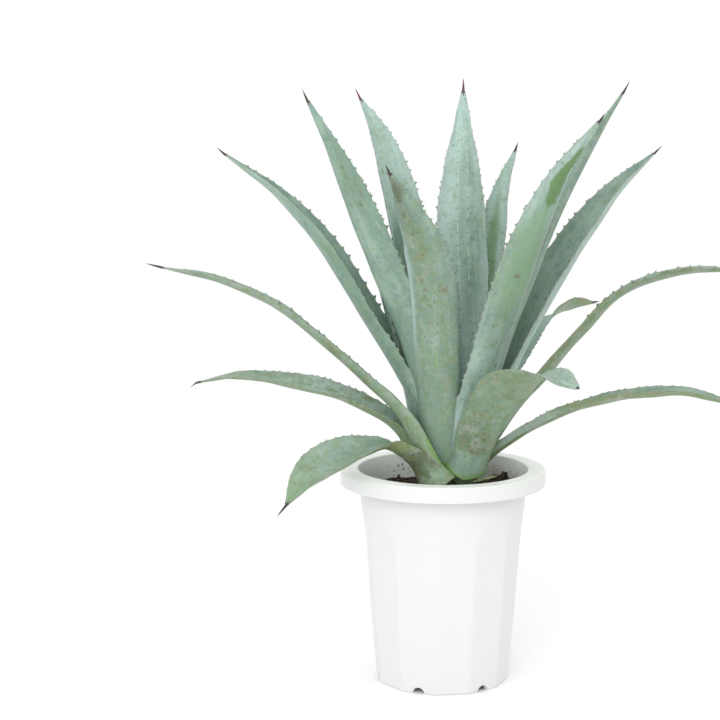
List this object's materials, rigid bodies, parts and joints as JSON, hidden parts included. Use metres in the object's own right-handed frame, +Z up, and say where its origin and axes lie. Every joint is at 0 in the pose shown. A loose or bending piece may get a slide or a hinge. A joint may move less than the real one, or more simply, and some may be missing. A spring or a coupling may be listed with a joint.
{
  "type": "potted century plant",
  "caption": "Rosette of long channelled leaves with toothed margins and dark end spines, standing in soil in a tall flat-sided pot with a broad flat rim.",
  "frame": {"origin": "centre of the pot's foot, on the surface that the pot stands on", "axes": "+Z up along the pot's axis, -Y towards the side that the plant is shown from, +X to the right seen from there"},
  "size_m": [0.7109, 0.4341, 0.7338],
  "materials": {
    "pot": "smooth moulded white plastic, satin gloss, faint mould lines",
    "soil": "dark crumbly potting soil with bark bits and grit",
    "stem": "pale fibrous stub ringed by old leaf bases",
    "leaf": "waxy blue-green leaf skin with bloom, bud prints and rubbed greener patches",
    "old_leaf": "waxy olive to grey-green leaf skin, speckled and dry at the margins",
    "young_leaf": "pale waxy leaf skin, tightly rolled",
    "spine": "hard dark brown to black horn, satin"
  },
  "bodies": {
    "root": {"leaf_back_left_tall": "leaf", "leaf_back_right_tall": "leaf", "leaf_back_right_twisted": "leaf", "leaf_back_tall": "leaf", "leaf_behind_left": "leaf", "leaf_behind_low_left": "leaf", "leaf_behind_low_right": "leaf", "leaf_behind_middle": "leaf", "leaf_front_left_drooping": "old_leaf", "leaf_front_right_short": "old_leaf", "leaf_front_tall": "leaf", "leaf_left_arching": "leaf", "leaf_left_long": "leaf", "leaf_left_low": "leaf", "leaf_left_tall": "leaf", "leaf_right_arching": "leaf", "leaf_right_front_tall": "leaf", "leaf_right_long": "leaf", "leaf_right_low": "leaf", "leaf_right_tall": "leaf", "pot": "pot", "soil": "soil", "spear": "young_leaf", "spine_back_left_tall": "spine", "spine_back_right_tall": "spine", "spine_back_right_twisted": "spine", "spine_back_tall": "spine", "spine_behind_left": "spine", "spine_behind_low_left": "spine", "spine_behind_low_right": "spine", "spine_behind_middle": "spine", "spine_front_left_drooping": "spine", "spine_front_right_short": "spine", "spine_front_tall": "spine", "spine_left_arching": "spine", "spine_left_long": "spine", "spine_left_low": "spine", "spine_left_tall": "spine", "spine_right_arching": "spine", "spine_right_front_tall": "spine", "spine_right_long": "spine", "spine_right_low": "spine", "spine_right_tall": "spine", "stem": "stem"}
  },
  "joints": []
}
